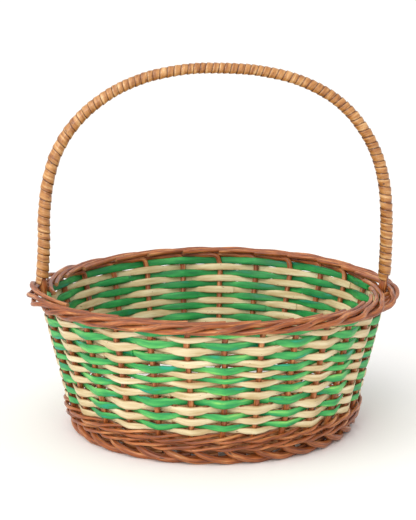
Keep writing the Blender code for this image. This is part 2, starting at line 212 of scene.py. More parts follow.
class Skin:
    """Closed swept bodies gathered in one mesh, each vertex knowing its place on the straightened rod."""

    sharp_from = math.radians(58.0)

    def __init__(self) -> None:
        """Start an empty mesh with the two attributes that patterns follow."""
        self.mesh = bmesh.new()
        self.straight = self.mesh.verts.layers.float_vector.new(STRAIGHT)
        self.edge = self.mesh.verts.layers.float.new(EDGE)

    def sweep(self, stations: Sequence[Station], sides: int, squareness: float = 2.0) -> None:
        """Wrap a grid round the cross-sections, weld its seam and close both cut ends.

        Args:
            stations: The cross-sections in order.
            sides: How many sides each cross-section has.
            squareness: 2 for a round or oval section, more for one with flatter faces.
        """
        spans = len(stations) - 1
        made = bmesh.ops.create_grid(self.mesh, x_segments=sides, y_segments=spans, size=0.5)["verts"]
        outline = []
        for side in range(sides):
            turn = 2.0 * math.pi * (side + 0.5) / sides
            u, v = math.cos(turn), math.sin(turn)
            power = 2.0 / squareness
            outline.append((math.copysign(abs(u) ** power, u), math.copysign(abs(v) ** power, v)))
        for vertex in made:
            u, v = outline[round((vertex.co.x + 0.5) * sides) % sides]
            station = stations[round((vertex.co.y + 0.5) * spans)]
            wide = u * station.half_across
            high = v * station.half_upward
            vertex.co = station.centre + station.across * wide + station.upward * high
            vertex[self.straight] = Vector((wide, high, station.along))
            vertex[self.edge] = v
        bmesh.ops.remove_doubles(self.mesh, verts=made, dist=WELD)
        kept = [vertex for vertex in made if vertex.is_valid]
        rims = dict.fromkeys(edge for vertex in kept for edge in vertex.link_edges if edge.is_boundary)
        for face in bmesh.ops.holes_fill(self.mesh, edges=list(rims), sides=sides)["faces"]:
            face.material_index = 1

    def finish(self, name: str, skin: bpy.types.Material, heart: bpy.types.Material) -> bpy.types.Object:
        """Turn the gathered bodies into one object.

        Args:
            name: The object's name.
            skin: The material of the outside.
            heart: The material of the cut ends.

        Returns:
            The new object, at the origin, with its place in its mesh.
        """
        bmesh.ops.recalc_face_normals(self.mesh, faces=self.mesh.faces[:])
        mesh = bpy.data.meshes.new(name)
        self.mesh.to_mesh(mesh)
        self.mesh.free()
        mesh.materials.append(skin)
        mesh.materials.append(heart)
        mesh.shade_smooth()
        mesh.set_sharp_from_angle(angle=self.sharp_from)
        piece = bpy.data.objects.new(name, mesh)
        bpy.context.scene.collection.objects.link(piece)
        return piece


class Slot(Enum):
    """Names for five finishes; nothing in this script uses them."""

    BROWN_WILLOW = "brown_willow"
    GREEN_STRIP = "green_strip"
    NATURAL_STRIP = "natural_strip"
    GOLDEN_CANE = "golden_cane"
    BASE_WILLOW = "base_willow"


def place_piece(piece: bpy.types.Object, node: str) -> None:
    """Fix a finished piece to the basket in place of its frame node, and log it.

    Args:
        piece: The finished object.
        node: Name of the frame node that it stands for.
    """
    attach(piece, "root")
    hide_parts(node)
    LOG.info("%s: %d faces, stands for %s", piece.name, len(piece.data.polygons), node)


# ---- finishes ---------------------------------------------------------------------------------------
def add_node(tree: bpy.types.NodeTree, kind: str, settings: dict | None = None,
             sockets: dict | None = None) -> bpy.types.Node:
    """Add a node with its settings, socket values and links.

    Args:
        tree: The node tree that takes it.
        kind: The node's type name.
        settings: Property names and their values.
        sockets: Input names or numbers, each with a value or with the output to link from.

    Returns:
        The new node.
    """
    node = tree.nodes.new(kind)
    for name, value in (settings or {}).items():
        setattr(node, name, value)
    for key, value in (sockets or {}).items():
        if isinstance(value, bpy.types.NodeSocket):
            tree.links.new(value, node.inputs[key])
        else:
            node.inputs[key].default_value = value
    return node


def set_stops(ramp: bpy.types.Node, stops: Sequence[tuple[float, str]]) -> None:
    """Give a colour ramp its stops.

    Args:
        ramp: The colour ramp node.
        stops: Places from 0 to 1 with their sRGB hex colours, in order.
    """
    elements = ramp.color_ramp.elements
    while len(elements) < len(stops):
        elements.new(1.0)
    for element, (place, code) in zip(elements, stops):
        element.position = place
        element.color = linear_colour(code)


@dataclass(frozen=True)
class PlantFinish:
    """A finish of split or grown plant fibre: colour in patches, fibres along the piece, dark flecks."""

    name: str
    patches: tuple[tuple[float, str], ...]
    patch_length: float
    patch_width: float
    fibre: str
    fibre_width: float
    fibre_length: float
    fibre_share: float
    fleck: str
    fleck_size: float
    fleck_from: float
    roughness: float
    bump: float
    coat: float = 0.0
    # The inner-face colour multiplies each face that turns towards the basket's inside: partly the split's
    # own duller pith side, partly painted shade of the inside.
    inner_face_and_shade: str = "#ffffff"
    # The edge colour, at the edge share, darkens each face towards its edges: painted shade where a strip or
    # winding meets its neighbour.
    edge: str = "#ffffff"
    edge_share: float = 0.0
    fleck_stretch: float = 0.35
    fleck_share: float = 0.8

    def grain(self, tree: bpy.types.NodeTree, across: float, lengthwise: float, detail: float,
              roughness: float) -> bpy.types.NodeSocket:
        """Add noise that is drawn out along the straightened piece.

        Args:
            tree: The material's node tree.
            across: Spots in a metre across the piece.
            lengthwise: Spots in a metre along it.
            detail: Number of finer layers.
            roughness: Strength of the finer layers.

        Returns:
            The noise's value.
        """
        place = add_node(tree, "ShaderNodeAttribute", {"attribute_name": STRAIGHT}).outputs["Vector"]
        drawn_out = add_node(tree, "ShaderNodeMapping", None,
                             {"Vector": place, "Scale": (across, across, lengthwise)})
        spots = add_node(tree, "ShaderNodeTexNoise", None,
                         {"Vector": drawn_out.outputs[0], "Scale": 1.0, "Detail": detail,
                          "Roughness": roughness})
        return spots.outputs[0]

    def build(self) -> bpy.types.Material:
        """Make the material.

        Returns:
            A material whose pattern follows each piece's straightened length.
        """
        material = bpy.data.materials.new(self.name)
        material.use_nodes = True
        tree = material.node_tree
        shader = tree.nodes["Principled BSDF"]
        patch = self.grain(tree, 1.0 / self.patch_width, 1.0 / self.patch_length, 3.0, 0.55)
        fibre = self.grain(tree, 1.0 / self.fibre_width, 1.0 / self.fibre_length, 4.0, 0.6)
        fleck = self.grain(tree, 1.0 / self.fleck_size, self.fleck_stretch / self.fleck_size, 1.0, 0.5)
        place = add_node(tree, "ShaderNodeAttribute", {"attribute_name": STRAIGHT}).outputs["Vector"]
        side = add_node(tree, "ShaderNodeSeparateXYZ", None, {0: place}).outputs[0]
        edge = add_node(tree, "ShaderNodeAttribute", {"attribute_name": EDGE}).outputs["Fac"]
        from_middle = add_node(tree, "ShaderNodeMath", {"operation": "ABSOLUTE"}, {0: edge}).outputs[0]

        tone = add_node(tree, "ShaderNodeValToRGB", None, {"Fac": patch})
        set_stops(tone, self.patches)
        colour = tone.outputs[0]
        fleck_range = (self.fleck_from, self.fleck_from + 0.05)
        layers = (
            (fibre, "SMOOTHSTEP", (0.45, 0.72), self.fibre_share, "MIX", self.fibre),
            (fleck, "SMOOTHSTEP", fleck_range, self.fleck_share, "MIX", self.fleck),
            # Inner faces: partly the pith side's own colour, partly painted shade of the basket's inside.
            (side, "LINEAR", (0.2 * MM, -0.2 * MM), 1.0, "MULTIPLY", self.inner_face_and_shade),
            # Edges: painted shade where a strip or winding meets its neighbour.
            (from_middle, "SMOOTHSTEP", (0.72, 0.98), self.edge_share, "MULTIPLY", self.edge),
        )
        for value, easing, (start, end), share, blend, code in layers:
            amount = add_node(tree, "ShaderNodeMapRange", {"interpolation_type": easing},
                              {"Value": value, "From Min": start, "From Max": end, "To Max": share})
            layer = add_node(tree, "ShaderNodeMix", {"data_type": "RGBA", "blend_type": blend},
                             {0: amount.outputs[0], 6: colour, 7: linear_colour(code)})
            colour = layer.outputs[2]
        tree.links.new(colour, shader.inputs["Base Color"])

        relief = add_node(tree, "ShaderNodeBump", None,
                          {"Height": fibre, "Strength": self.bump, "Distance": self.fibre_width * 0.5})
        tree.links.new(relief.outputs[0], shader.inputs["Normal"])
        shader.inputs["Roughness"].default_value = self.roughness
        shader.inputs["IOR"].default_value = 1.5
        shader.inputs["Coat Weight"].default_value = self.coat
        shader.inputs["Coat Roughness"].default_value = 0.3
        return material


# Boiled willow with its bark buffed off: reddish brown, faint lengthwise fibres, a dull polish on the crown.
BUFFED_WILLOW = PlantFinish(
    name="buffed_willow_boiled",
    patches=((0.3, "#6b3010"), (0.43, "#944c1d"), (0.55, "#ad6029"), (0.68, "#d19055")),
    patch_length=22.0 * MM, patch_width=2.6 * MM,
    fibre="#53230a", fibre_width=0.75 * MM, fibre_length=14.0 * MM, fibre_share=0.9,
    fleck="#331a0c", fleck_size=1.7 * MM, fleck_from=0.70,
    roughness=0.42, bump=0.6, coat=0.15)

# The same willow in the base, out of the light and the wear: a little paler and quite matt.
BASE_WILLOW = PlantFinish(
    name="base_willow_boiled",
    patches=((0.25, "#8d5328"), (0.5, "#a96c3c"), (0.75, "#c4905e")),
    patch_length=26.0 * MM, patch_width=4.0 * MM,
    fibre="#74401f", fibre_width=0.7 * MM, fibre_length=14.0 * MM, fibre_share=0.5,
    fleck="#3f2212", fleck_size=1.6 * MM, fleck_from=0.76,
    roughness=0.5, bump=0.35)

# Cut ends of willow: pale wood, dry and rough, a little grey.
CUT_WILLOW = PlantFinish(
    name="cut_willow_wood",
    patches=((0.3, "#7f5028"), (0.7, "#ab7b4a")),
    patch_length=2.0 * MM, patch_width=2.0 * MM,
    fibre="#6f4525", fibre_width=0.5 * MM, fibre_length=0.5 * MM, fibre_share=0.5,
    fleck="#5a371f", fleck_size=1.0 * MM, fleck_from=0.7,
    roughness=0.75, bump=0.3)

# Split willow dyed green in a bath: the dye takes unevenly, from leaf green to emerald and a little teal.
GREEN_DYED = PlantFinish(
    name="split_willow_dyed_green",
    patches=((0.33, "#0c9f7c"), (0.41, "#1f8c48"), (0.5, "#3aa550"), (0.58, "#56b85e"), (0.68, "#8cd068")),
    patch_length=34.0 * MM, patch_width=6.0 * MM,
    fibre="#168a4c", fibre_width=0.5 * MM, fibre_length=18.0 * MM, fibre_share=0.6,
    fleck="#1c5a34", fleck_size=1.5 * MM, fleck_from=0.74,
    # Edge colour: painted shade along the strip's top and bottom edges.
    # Inner faces darkened to teal: partly the pith side's own colour, partly painted shade of the basket's
    # inside.
    roughness=0.5, bump=0.3, inner_face_and_shade="#80dccf", edge="#6f9a6a", edge_share=0.7)

# Split willow left plain: cream with straw streaks, now and then a brown fleck.
PLAIN_SPLIT = PlantFinish(
    name="split_willow_plain",
    patches=((0.33, "#b89f6f"), (0.43, "#ccb88c"), (0.56, "#dccda5"), (0.68, "#eae0bd")),
    patch_length=36.0 * MM, patch_width=5.0 * MM,
    fibre="#bb9d6b", fibre_width=0.5 * MM, fibre_length=20.0 * MM, fibre_share=0.6,
    fleck="#6a4526", fleck_size=1.4 * MM, fleck_from=0.74,
    # Edge colour: painted shade along the strip's top and bottom edges.
    # Inner faces get a faint green tint: partly the pith side's own colour, partly painted shade and painted
    # green bounce light of the inside.
    roughness=0.55, bump=0.3, inner_face_and_shade="#fafdf4", edge="#b08a5c", edge_share=0.7)

# Glossy cane skin wound flat: golden tan, a hard natural polish, fine fibres along each winding.
CANE_SKIN = PlantFinish(
    name="cane_skin_polished",
    patches=((0.32, "#8a5226"), (0.43, "#ad7238"), (0.55, "#c1894d"), (0.68, "#dcb079")),
    patch_length=16.0 * MM, patch_width=3.0 * MM,
    fibre="#85532a", fibre_width=0.6 * MM, fibre_length=9.0 * MM, fibre_share=0.6,
    fleck="#4a2b15", fleck_size=1.5 * MM, fleck_from=0.72,
    # Edge colour: painted shadow line at each winding's edge, where it steps over the next turn.
    roughness=0.3, bump=0.35, coat=0.3, edge="#6b3f1e", edge_share=1.0)


# ---- the wall that everything follows ---------------------------------------------------------------
@dataclass(frozen=True)
class Wall:
    """The slanting wall and the places of its stakes."""

    stakes: int = 28
    first_angle: float = math.radians(-85.7)
    drift_back: float = math.radians(3.5)
    drift_side: float = math.radians(4.7)
    radius: float = 114.8 * MM
    start: float = 13.0 * MM
    lean: float = math.atan(0.236)
    rim_radius: float = 139.0 * MM
    rim_height: float = 112.5 * MM
    rim_saddle: float = 1.5 * MM
    span: float = 99.5 * MM
    search_rounds: int = 20

    @property
    def turn(self) -> float:
        """Return the even angle between two stakes."""
        return 2.0 * math.pi / self.stakes

    def angle(self, number: float) -> float:
        """Return a stake number's angle, with the slow drift in spacing that handwork has."""
        even = self.first_angle + number * self.turn
        from_front = even + math.pi / 2.0
        return even - self.drift_back * (1.0 - math.cos(from_front)) - self.drift_side * math.sin(from_front)

    def number(self, angle: float) -> float:
        """Return the stake number at an angle; the drift is small, so a few rounds settle it."""
        number = (angle - self.first_angle) / self.turn
        for _ in range(self.search_rounds):
            number += (angle - self.angle(number)) / self.turn
        return number

    def legs(self) -> tuple[float, float]:
        """Return the stake numbers where the handle's two legs stand."""
        return self.number(0.0), self.number(-math.pi)

    def front(self, number: float) -> float:
        """Return 1 at the very front, falling to 0 at the very back, at a stake number."""
        return 0.5 - 0.5 * math.sin(self.angle(number))

    def saddle(self, angle: float) -> float:
        """Return 1 at front and back, where the rim is highest, and -1 at the sides."""
        return -math.cos(2.0 * angle)

    def point(self, angle: float, up: float, out: float) -> Vector:
        """Return the point that far up the wall and out from its centre line."""
        radius = self.radius + up * math.sin(self.lean) + out * math.cos(self.lean)
        height = self.start + up * math.cos(self.lean) - out * math.sin(self.lean)
        return polar(angle, radius, height)

    def rim(self, angle: float) -> float:
        """Return the height of the rim's centre line."""
        return self.rim_height + self.rim_saddle * self.saddle(angle)


# ---- rim border -------------------------------------------------------------------------------------
@dataclass
class Border:
    """The rolled rim: where each stake's tail lies as it travels round over the next ones."""

    wall: Wall
    layer: float = 2.4 * MM
    start: float = -2.0 * MM
    turn_out: float = 5.1 * MM
    turn_depth: float = 3.7 * MM
    step: float = 4.75 * MM
    tail: float = 5.3
    points_per_space: int = 2
    fine_reach: float = 2.4
    first_travel: float = 0.2
    rod_spacing: float = 4.65 * MM
    leg_spacing: float = 5.4 * MM
    leg_reach: tuple[float, float] = (5.0 * MM, 20.0 * MM)
    leg_offset: float = -0.8 * MM
    outside_travel: float = 4.0
    lowest: float = -2.6 * MM
    outermost: float = 10.6 * MM
    rounds: int = 120
    pushes: int = 4

    def rule(self, travel: float) -> Vector:
        """Return where a tail runs in the border's section after a travel: out and up."""
        out = self.start + self.step * travel
        if out <= self.turn_out:
            return Vector((out, -self.layer))
        past = travel - (self.turn_out - self.start) / self.step
        if past <= 1.0:
            turn = math.pi * past
            return Vector((self.turn_out + self.turn_depth * math.sin(turn), -self.layer * math.cos(turn)))
        return Vector((self.turn_out - self.step * (past - 1.0), self.layer))

    def nearest_leg(self, station: float) -> float:
        """Return the signed number of stake spaces from the nearest handle leg."""
        half = self.wall.stakes / 2.0
        return min(((station - leg + half) % self.wall.stakes - half for leg in self.wall.legs()), key=abs)

    def stations(self) -> list[float]:
        """Return the stake numbers where the border's section is laid out, closer together near the legs."""
        even = [step / self.points_per_space for step in range(self.wall.stakes * self.points_per_space)]
        between = [station + 0.5 / self.points_per_space for station in even]
        fine = [station for station in between if abs(self.nearest_leg(station)) < self.fine_reach]
        return sorted(even + fine + [leg % self.wall.stakes for leg in self.wall.legs()])

    def part_from_leg(self, place: Vector, station: float, travel: float, spacing: float) -> None:
        """Push a rod sideways until it clears the leg, to the side on which it passes.

        Args:
            place: The rod's place in the section, changed here.
            station: The section's stake number.
            travel: How far the rod has travelled there.
            spacing: The distance to keep from the leg's centre line.
        """
        side = 1.0 if travel - self.nearest_leg(station) < self.outside_travel else -1.0
        out = side * (place.x - self.leg_offset)
        if out < spacing:
            place.x += side * (spacing - out)

    def part_pair(self, first: Vector, second: Vector, first_fixed: bool) -> None:
        """Push two rods apart to the least spacing; a fixed one stays."""
        gap = second - first
        short = self.rod_spacing - gap.length
        if short <= 0.0:
            return
        push = gap.normalized() * short
        if first_fixed:
            second += push
        else:
            first -= push * 0.5
            second += push * 0.5

    def leg_gap(self, station: float) -> float:
        """Return the distance that the rods keep from a handle leg's centre line."""
        away = abs(self.nearest_leg(station)) * self.wall.turn * self.wall.rim_radius
        full, none = self.leg_reach
        return self.leg_spacing * (1.0 - smoothstep((away - full) / (none - full)))

    def ease(self, row: list[Vector], ruled: list[Vector]) -> None:
        """Smooth how far one tail has moved from its ruled places.

        Args:
            row: The tail's places, changed here.
            ruled: The same places by rule.
        """
        shift = [place - rule for place, rule in zip(row, ruled)]
        for order in range(1, len(row)):
            after = shift[min(order + 1, len(row) - 1)]
            row[order] = ruled[order] + shift[order] * 0.5 + (shift[order - 1] + after) * 0.25

    def settle(self) -> tuple[dict[int, list[float]], dict[int, list[Vector]]]:
        """Lay all tails out by rule, then ease them apart round the handle's legs.

        Returns:
            For each stake, the travels of its tail's points and their places in the section.
        """
        stations = self.stations()
        travels = {}
        for number in range(self.wall.stakes):
            ahead = sorted((station - number) % self.wall.stakes for station in stations)
            travels[number] = [0.0] + [travel for travel in ahead if self.first_travel <= travel <= self.tail]
        ruled = {number: [self.rule(travel) for travel in row] for number, row in travels.items()}
        moved = {number: [place.copy() for place in row] for number, row in ruled.items()}
        crowd: dict[float, list[tuple[float, int, int]]] = {}
        for number, row in travels.items():
            for order, travel in enumerate(row):
                station = round((number + travel) % self.wall.stakes, 6)
                crowd.setdefault(station, []).append((travel, number, order))
        for members in crowd.values():
            members.sort()
        for _ in range(self.rounds):
            for number, row in moved.items():
                self.ease(row, ruled[number])
            for station, members in crowd.items():
                self.press(station, members, moved)
        return travels, moved

    def press(self, station: float, members: list[tuple[float, int, int]],
              moved: dict[int, list[Vector]]) -> None:
        """Push the rods of one section apart, inside the room that the rim has.

        Args:
            station: The section's stake number.
            members: Travel, stake and order of each rod point in the section.
            moved: All places, changed here.
        """
        spacing = self.leg_gap(station)
        for _ in range(self.pushes):
            for travel, number, order in members:
                place = moved[number][order]
                if order and spacing > 0.0:
                    self.part_from_leg(place, station, travel, spacing)
                place.y = max(place.y, self.lowest)
                place.x = min(place.x, self.outermost)
            for i, (_, number, order) in enumerate(members):
                for _, other, other_order in members[i + 1:]:
                    self.part_pair(moved[number][order], moved[other][other_order], order == 0)


# ---- stakes -----------------------------------------------------------------------------------------
@dataclass
class Stakes:
    """Twenty-eight willow rods, each a foot loop, an upright and a tail in the rolled rim."""

    wall: Wall
    border: Border
    foot_radius: float = 2.6 * MM
    upright_radius: float = 2.3 * MM
    tail_radius: float = 2.2 * MM
    tip_radius: float = 1.7 * MM
    bend: float = 5.5 * MM
    upright_shares: tuple[float, ...] = (0.02, 0.25, 0.5, 0.75, 1.0)
    entry_travel: float = 0.03
    entry_share: float = 0.32
    pattern_step: float = 1.7
    step: float = 2.0 * MM
    sides: int = 10

    def foot(self, number: int) -> list[Vector]:
        """Return the foot loop's knots, from its tucked end to the upright."""
        low = self.foot_radius / MM
        loop = (
            (2.85, 104.0, 5.2), (2.45, 105.1, 4.0), (2.10, 107.4, low + 0.4), (1.85, 108.6, low),
            (1.60, 110.2, low), (1.30, 112.2, low), (1.00, 114.0, low + 0.8), (0.70, 115.2, 5.2),
            (0.45, 115.5, 7.2), (0.24, 115.1, 9.3), (0.10, 114.2, 11.6),
        )
        return [polar(self.wall.angle(number + travel), radius * MM, height * MM)
                for travel, radius, height in loop]

    def line(self, number: int, travels: list[float], places: list[Vector]) -> list[Vector]:
        """Lay one stake's whole line.

        Args:
            number: The stake's number.
            travels: Travels of its tail's points.
            places: Places of its tail's points in the border's section.

        Returns:
            Points of four components, the last of them the radius.
        """
        angle = self.wall.angle(number)
        top = self.wall.rim(angle) - self.border.layer
        up = (top - self.bend - self.wall.start) / math.cos(self.wall.lean)
        uprights = [self.wall.point(angle, up * share, 0.0) for share in self.upright_shares]
        entry = polar(self.wall.angle(number + self.entry_travel), self.wall.rim_radius + self.border.start,
                      top - self.entry_share * self.bend)
        tail = []
        for travel, place in list(zip(travels, places))[1:]:
            at = self.wall.angle(number + travel)
            tail.append(polar(at, self.wall.rim_radius + place.x, self.wall.rim(at) + place.y))
        knots = [(point, self.foot_radius) for point in self.foot(number)]
        knots += [(point, self.upright_radius) for point in uprights]
        knots.append((entry, self.tail_radius))
        for i, point in enumerate(tail):
            share = i / (len(tail) - 1)
            knots.append((point, self.tail_radius + (self.tip_radius - self.tail_radius) * share))
        return smooth_line([Vector((*hand_drift(point), radius)) for point, radius in knots], self.step)

    def build(self, bark: bpy.types.Material, wood: bpy.types.Material) -> None:
        """Make all stakes.

        Args:
            bark: The material of their outside.
            wood: The material of their cut ends.
        """
        travels, places = self.border.settle()
        for number in range(self.wall.stakes):
            skin = Skin()
            line = self.line(number, travels[number], places[number])
            skin.sweep(rod_stations(line, outwards, self.pattern_step * number), self.sides)
            piece = skin.finish(f"willow_stake_{number + 1:02d}", bark, wood)
            place_piece(piece, f"stake_{number + 1:02d}")


# ---- flat weaving strips ----------------------------------------------------------------------------
class Strip(Enum):
    """The two kinds of weaving strip, by their frame nodes' names."""

    NATURAL = "natural_weaver"
    GREEN = "green_weaver"


class Luck(NamedTuple):
    """What chance gives one strip: its width, and its seats in the unevenness and in the pattern."""

    width: float
    seat: float
    pattern: float


@dataclass
class Weave:
    """Eighteen rounds of split willow, in front of every other stake, natural and green by turns."""

    wall: Wall
    rows: int = 18
    first: float = 15.8 * MM
    pitch: float = 4.64 * MM
    # each round as it was beaten down and split: millimetres above its even place in front, width at a stake
    beaten: tuple[tuple[float, float], ...] = (
        (0.1, 5.4), (-0.9, 5.4), (-0.7, 6.4), (-1.2, 6.4), (-0.6, 7.5), (0.9, 7.8),
        (2.3, 6.4), (2.0, 6.4), (2.4, 5.5), (1.3, 4.5), (1.2, 5.2), (0.7, 6.4),
        (1.6, 6.4), (1.5, 7.3), (2.8, 7.6), (2.9, 7.0), (3.4, 5.0), (2.4, 4.2),
    )
    back_lower: float = 2.2 * MM
    wide_at_back: float = 6.4 * MM
    between_at_back: float = 5.0 * MM
    top_reach: float = 1.3 * MM
    between_share: float = 0.72
    between_least: float = 3.9
    between_most: float = 4.9
    width_luck: tuple[float, float] = (-0.07, 0.05)
    width_wave: tuple[float, float] = (0.09, 0.55)  # a wave's share of the width, and waves in a stake space
    level_wave: tuple[float, float] = (0.35 * MM, 0.7)
    tilt_wave: tuple[float, float] = (0.10, 0.6)
    widens_within: float = 1.5 * MM
    fold: float = 0.2
    thickness: float = 1.15 * MM
    out: float = 3.15 * MM
    past_leg: float = 4.0 * MM
    sag: float = 0.15 * MM
    lap: float = 0.40
    lap_step: float = 1.2 * MM
    lap_margin: float = 0.06
    lap_fade: float = 0.5
    seed: int = 500
    start_shift: int = 3
    start_step: int = 5
    squareness: float = 3.0
    handle_from: float = 40.0 * MM
    steps_per_space: int = 12
    sides: int = 10

    def stops(self, row: int) -> list[tuple[float, float]]:
        """Return where a round passes each stake and leg, over two turns: stake number and distance out."""
        outer = 1 if row % 2 == 0 else 0
        once = [(float(n), self.out if n % 2 == outer else -self.out) for n in range(self.wall.stakes)]
        if self.first + (row + 1) * self.pitch > self.handle_from:
            for leg in self.wall.legs():
                side = 1.0 if round(leg) % 2 == outer else -1.0
                once.append((leg % self.wall.stakes, side * self.past_leg))
        once.sort()
        turns = (-self.wall.stakes, 0, self.wall.stakes, 2 * self.wall.stakes)
        return [(number + turn, out) for turn in turns for number, out in once]

    def out_at(self, number: float, stops: list[tuple[float, float]]) -> float:
        """Return how far out the round runs at a stake number: flat between stakes, folded over them."""
        after = next(i for i, stop in enumerate(stops) if stop[0] > number)
        (start, before), (end, then) = stops[after - 1], stops[after]
        share = (number - start) / (end - start)
        eased = (1.0 - self.fold) * share + self.fold * smoothstep(share)
        return before + (then - before) * eased

    def width(self, row: int, number: float, out: float, luck: Luck) -> float:
        """Return how wide a strip is at a stake number: widest over a stake, pinched between two."""
        at_stake = self.beaten[row][1]
        between = min(max(self.between_share * at_stake, self.between_least), self.between_most) * MM
        share, waves = self.width_wave
        uneven = 1.0 + share * noise.noise(Vector((number * waves, luck.seat, 1.0)))
        front = self.wall.front(number)
        wide = self.wide_at_back + (at_stake * MM - self.wide_at_back) * front
        wide *= luck.width * uneven
        narrow = self.between_at_back + (between - self.between_at_back) * front
        if row == self.rows - 1:
            narrow += self.top_reach * (1.0 - front)
        return narrow + (wide - narrow) * smoothstep(abs(out) / self.widens_within)

    def level(self, row: int, number: float, out: float, luck: Luck) -> float:
        """Return how far up the wall a strip's middle runs at a stake number."""
        front = self.wall.front(number)
        saddle = self.wall.rim_saddle * self.wall.saddle(self.wall.angle(number))
        up = (self.first + row * self.pitch) * (1.0 + saddle / self.wall.span)
        back_dip = self.back_lower * math.sin(math.pi * row / self.rows) * (1.0 - front) ** 2
        up += self.beaten[row][0] * MM * front - back_dip
        if row == self.rows - 1:
            up += self.top_reach * (1.0 - front)
        up -= self.sag * out / self.out
        reach, waves = self.level_wave
        return up + reach * noise.noise(Vector((number * waves, luck.seat, 8.0)))

    def stations(self, row: int, first: float, last: float, dice: random.Random) -> list[Station]:
        """Cut one strip into cross-sections.

        Args:
            row: The round's number, from the bottom.
            first: Stake number where the strip starts, tucked inside.
            last: Stake number where it ends.
            dice: The seeded source of this strip's unevenness.

        Returns:
            The cross-sections from start to end.
        """
        stops = self.stops(row)
        luck = Luck(1.0 + dice.uniform(*self.width_luck), dice.uniform(0.0, 90.0), dice.uniform(0.0, 40.0))
        steps = round((last - first) * self.steps_per_space)
        stations = []
        along = 0.0
        previous = None
        for step in range(steps + 1):
            number = first + (last - first) * step / steps
            out = self.out_at(number, stops)
            angle = self.wall.angle(number)
            up = self.level(row, number, out, luck)
            half_width = self.width(row, number, out, luck) / 2.0
            lapped = 1.0 - smoothstep((number - first - self.lap * 2.0 + self.lap_margin) / self.lap_fade)
            middle = self.wall.point(angle, up, out - self.lap_step * lapped)
            here = self.wall.point(angle, up, out)
            upward = (self.wall.point(angle, up + MM, out) - here).normalized()
            outward = (self.wall.point(angle, up, out + MM) - here).normalized()
            reach, waves = self.tilt_wave
            tilt = reach * noise.noise(Vector((number * waves, luck.seat, 4.0)))
            facing = (outward + upward * tilt).normalized()
            centre = hand_drift(middle)
            if previous is not None:
                along += (centre - previous).length
            previous = centre
            stations.append(Station(centre, facing, upward, self.thickness / 2.0, half_width,
                                    luck.pattern + along))
        return self.square_to_run(stations)

    def square_to_run(self, stations: list[Station]) -> list[Station]:
        """Turn each section square to the strip's own run, so that it keeps its thickness on the slant."""
        squared = []
        for i, station in enumerate(stations):
            run = stations[min(i + 1, len(stations) - 1)].centre - stations[max(i - 1, 0)].centre
            run.normalize()
            across = (station.across - run * station.across.dot(run)).normalized()
            upward = run.cross(across)
            if upward.dot(station.upward) < 0.0:
                upward.negate()
            squared.append(station._replace(across=across, upward=upward))
        return squared

    def build(self, green: bpy.types.Material, plain: bpy.types.Material) -> None:
        """Make all rounds, each of two strips whose ends lap behind a stake on the inside.

        Args:
            green: The dyed strips' material.
            plain: The plain strips' material.
        """
        for row in range(self.rows):
            kind = Strip.GREEN if row % 2 else Strip.NATURAL
            dice = random.Random(self.seed + row)
            inner = row % 2
            first = 2 * ((row * self.start_step + self.start_shift) % (self.wall.stakes // 2)) + inner
            half = self.wall.stakes // 2 + 2 * dice.randint(-2, 2)
            skin = Skin()
            for start, end in ((first, first + half), (first + half, first + self.wall.stakes)):
                strip = self.stations(row, start - self.lap, end + self.lap, dice)
                skin.sweep(strip, self.sides, self.squareness)
            finish = green if kind is Strip.GREEN else plain
            piece = skin.finish(f"{kind.name.lower()}_strip_round_{row // 2 + 1}", finish, finish)
            place_piece(piece, f"{kind.value}_{row // 2 + 1}")


# ---- three-rod wale ---------------------------------------------------------------------------------
@dataclass
class Wale:
    """Three thin rods twisted round the foot of the wall, in front of two stakes and behind one."""

    wall: Wall
    rods: int = 3
    spaces: int = 55
    start: int = 16
    radius: float = 1.35 * MM
    out: float = 4.4 * MM
    out_between: float = 4.7 * MM
    layer: float = 1.65 * MM
    cross: float = 1.75 * MM
    first: float = 3.2 * MM
    rise: float = 6.7 * MM
    step_from: float = 0.88
    step: float = 2.2 * MM
    pattern: float = 60.0
    pattern_step: float = 3.3
    sides: int = 10

    def level(self, spaces: float) -> float:
        """Return how far up the wall the wale runs, with a step between its two rounds."""
        rounds = spaces / self.wall.stakes
        return self.first + self.rise * smoothstep((rounds - self.step_from) / (1.0 - self.step_from))

    def line(self, rod: int) -> list[Vector]:
        """Lay one rod's line; a stroke in front starts low and ends high."""
        stroke = ((self.out, -self.layer), (self.out, self.layer), (-self.out, 0.0))
        between = ((self.out_between, 0.0), (0.0, self.cross), (0.0, -self.cross))
        knots = []
        for space in range(rod, rod + self.spaces):
            phase = (space - rod) % self.rods
            for places, spaces in ((stroke, space), (between, space + 0.5)):
                out, up = places[phase]
                point = self.wall.point(self.wall.angle(self.start + spaces), self.level(spaces) + up, out)
                knots.append(Vector((*hand_drift(point), self.radius)))
        return smooth_line(knots, self.step)

    def build(self, bark: bpy.types.Material, wood: bpy.types.Material) -> None:
        """Make the wale's rods of these two materials, outside and cut ends."""
        for rod in range(self.rods):
            skin = Skin()
            pattern = self.pattern + self.pattern_step * rod
            skin.sweep(rod_stations(self.line(rod), outwards, pattern), self.sides)
            piece = skin.finish(f"wale_willow_{rod + 1}", bark, wood)
            place_piece(piece, f"wale_rod_{rod + 1}")


